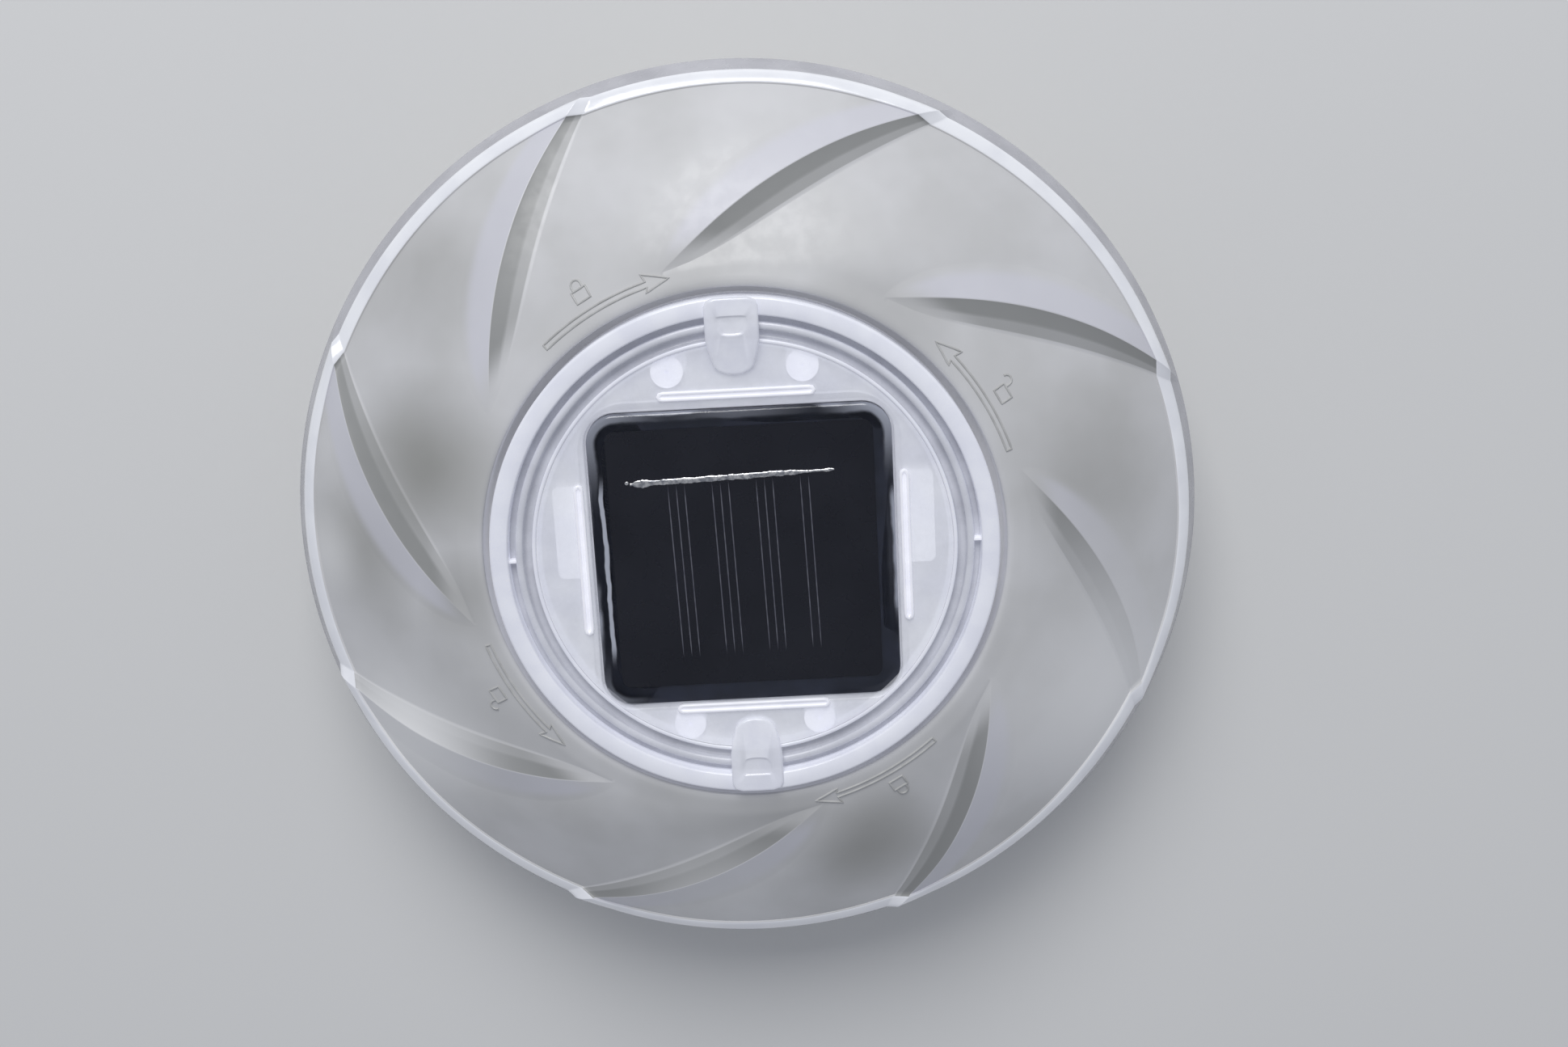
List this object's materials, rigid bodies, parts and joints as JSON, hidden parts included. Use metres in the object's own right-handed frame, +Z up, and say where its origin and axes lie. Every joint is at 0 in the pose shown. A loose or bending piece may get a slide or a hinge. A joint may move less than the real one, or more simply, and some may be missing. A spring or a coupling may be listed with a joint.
{
  "type": "floating pool light",
  "caption": "Solar floating pool light: low fluted translucent dome that floats, with a round twist-lock lamp unit and a solar panel in its centre well.",
  "frame": {"origin": "centre of the foot, on the surface the float stands on", "axes": "+Z up along the dome's axis, +X and +Y along the solar panel's sides, grip tongues at +Y and -Y"},
  "size_m": [0.208, 0.208, 0.0669],
  "materials": {
    "frosted_float": "frosted translucent moulded plastic",
    "clear_lid": "frosted clear plastic with a polished ring",
    "clear_housing": "clear plastic, slightly frosted",
    "seal_rubber": "translucent silicone rubber",
    "screw_steel": "stainless steel",
    "foam_tape": "white foam tape",
    "panel_board": "black laminate",
    "silicon_cell": "dark blue-black silicon",
    "solder": "lumpy bright solder",
    "silver_line": "thin printed silver lines",
    "clear_resin": "clear glossy epoxy",
    "circuit_board": "green solder mask",
    "led_epoxy": "clear domed lights",
    "chip_black": "black moulded plastic",
    "ferrite": "dark ferrite",
    "can_aluminium": "bare aluminium can",
    "knob_white": "white plastic",
    "battery_wrap": "plain green sleeve",
    "spring_steel": "nickel-plated steel",
    "lead_black": "black insulation",
    "lead_red": "red insulation"
  },
  "bodies": {
    "float": {"float_dome": "frosted_float", "float_hull": "frosted_float"},
    "seal": {"sealing_ring": "seal_rubber"},
    "lamp": {"lid_gasket": "seal_rubber", "battery_gasket": "seal_rubber", "lid": "clear_lid", "lamp_housing": "clear_housing", "battery_cover": "clear_housing", "lid_screws": "screw_steel", "board_screws": "screw_steel", "cover_screws": "screw_steel", "panel_pad": "foam_tape", "solar_board": "panel_board", "solar_cell": "silicon_cell", "cell_ribbon": "solder", "cell_fingers": "silver_line", "panel_resin": "clear_resin", "circuit_board": "circuit_board", "leds": "led_epoxy", "control_chip": "chip_black", "inductor": "ferrite", "capacitor": "can_aluminium", "switch_body": "chip_black", "battery": "battery_wrap", "contact_spring": "spring_steel", "spring_plate": "spring_steel", "plate_contact": "spring_steel", "solar_lead_black": "lead_black", "battery_lead_black": "lead_black", "solar_lead_red": "lead_red", "battery_lead_red": "lead_red"},
    "knob": {"switch_knob": "knob_white"}
  },
  "joints": [
    {"name": "unit_lift", "type": "slide", "parent": "float", "child": "seal", "axis": [0, 0, 1], "range_m": [0, 0.035]},
    {"name": "unit_twist", "type": "hinge", "parent": "seal", "child": "lamp", "pos_m": [0, 0, 0.053], "axis": [0, 0, 1], "range_deg": [-30, 0]},
    {"name": "switch_slide", "type": "slide", "parent": "lamp", "child": "knob", "axis": [1, 0, 0], "range_m": [0, 0.003]}
  ]
}
